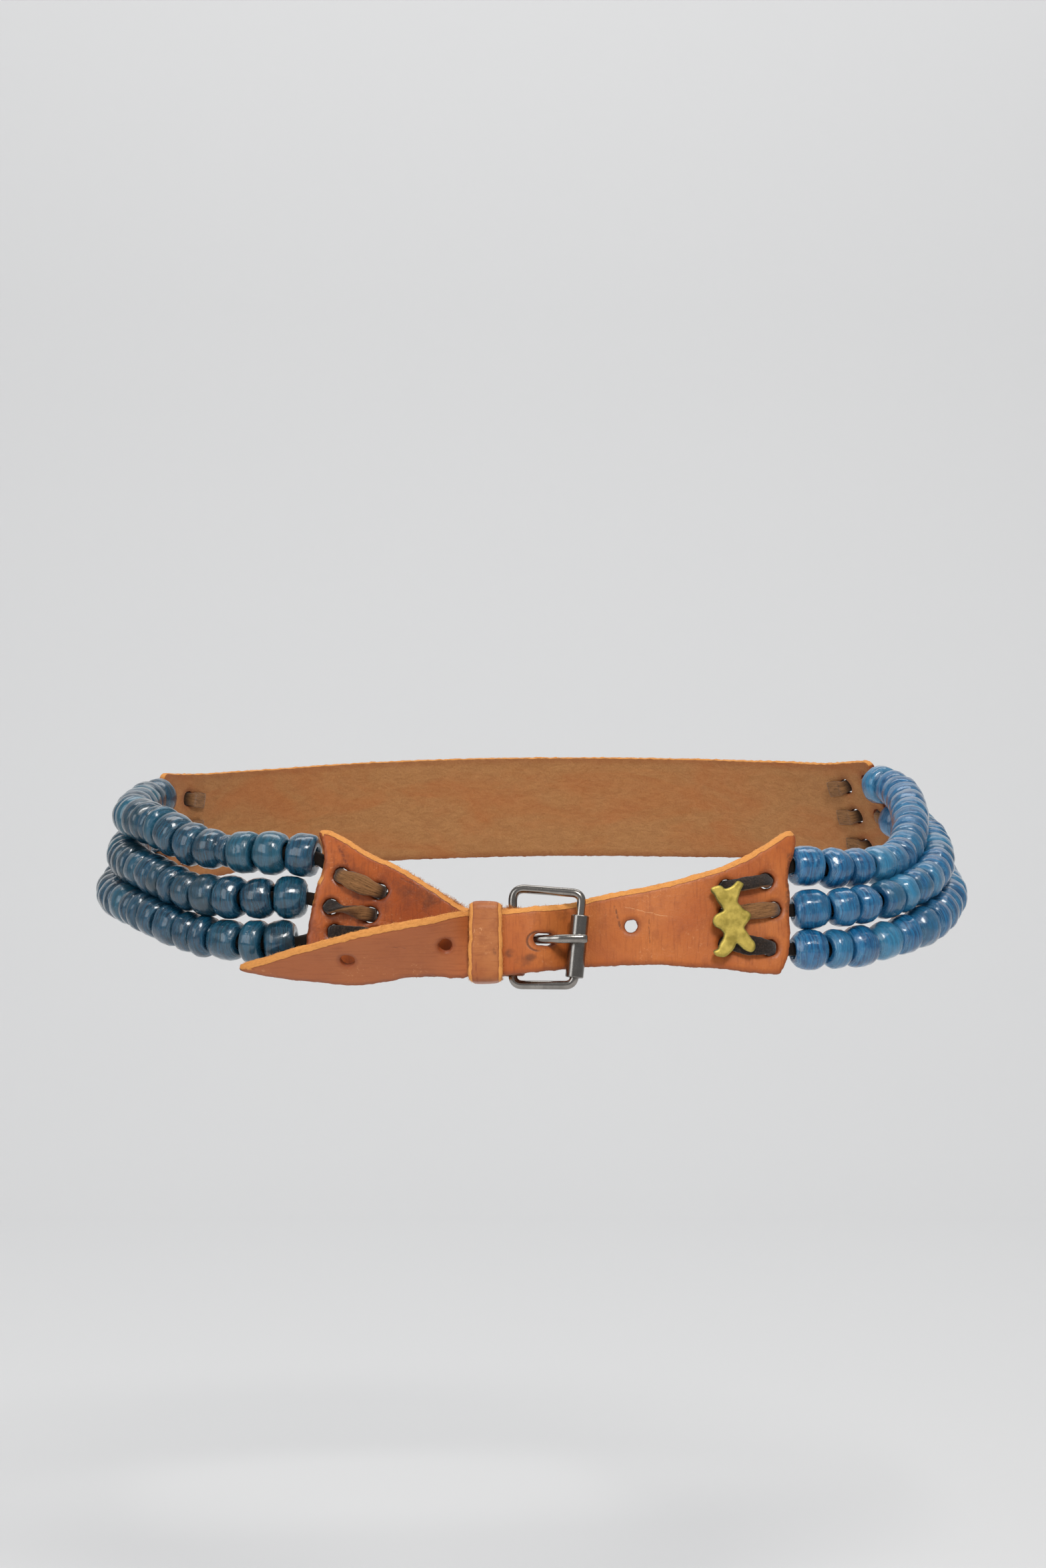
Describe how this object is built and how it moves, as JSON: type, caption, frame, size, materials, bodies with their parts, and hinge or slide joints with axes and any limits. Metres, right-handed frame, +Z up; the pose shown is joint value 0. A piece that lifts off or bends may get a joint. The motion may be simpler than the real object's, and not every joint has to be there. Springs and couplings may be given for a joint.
{
  "type": "beaded belt",
  "caption": "Leather belt with fan-shaped tabs, a roller buckle, strands of wound blue glass beads at the sides and a leather back panel.",
  "frame": {"origin": "in the middle of the hollow that the hips fill, at the height of the middle of the belt", "axes": "+Z up along the wearer's body; -Y is the front, with the buckle; +X is to the right seen from the front"},
  "size_m": [0.3143, 0.2434, 0.0798],
  "materials": {
    "tan_leather": "vegetable-tanned, waxed, rough cut edges",
    "blue_glass": "opaque wound glass, glossy, worn in places",
    "dark_suede": "suede thong, matt",
    "buckle_steel": "dark, lightly worn",
    "cast_brass": "cast, with green in its hollows"
  },
  "bodies": {
    "root": {"billet_strap": "tan_leather", "buckle_strap": "tan_leather", "keeper": "tan_leather", "back_panel": "tan_leather", "buckle_frame": "buckle_steel", "roller": "buckle_steel", "prong": "buckle_steel", "ornament": "cast_brass", "strand_right_top": "blue_glass", "strand_right_middle": "blue_glass", "strand_right_bottom": "blue_glass", "strand_left_top": "blue_glass", "strand_left_middle": "blue_glass", "strand_left_bottom": "blue_glass", "lace_right_top": "dark_suede", "lace_right_middle": "dark_suede", "lace_right_bottom": "dark_suede", "lace_left_top": "dark_suede", "lace_left_middle": "dark_suede", "lace_left_bottom": "dark_suede"}
  },
  "joints": []
}
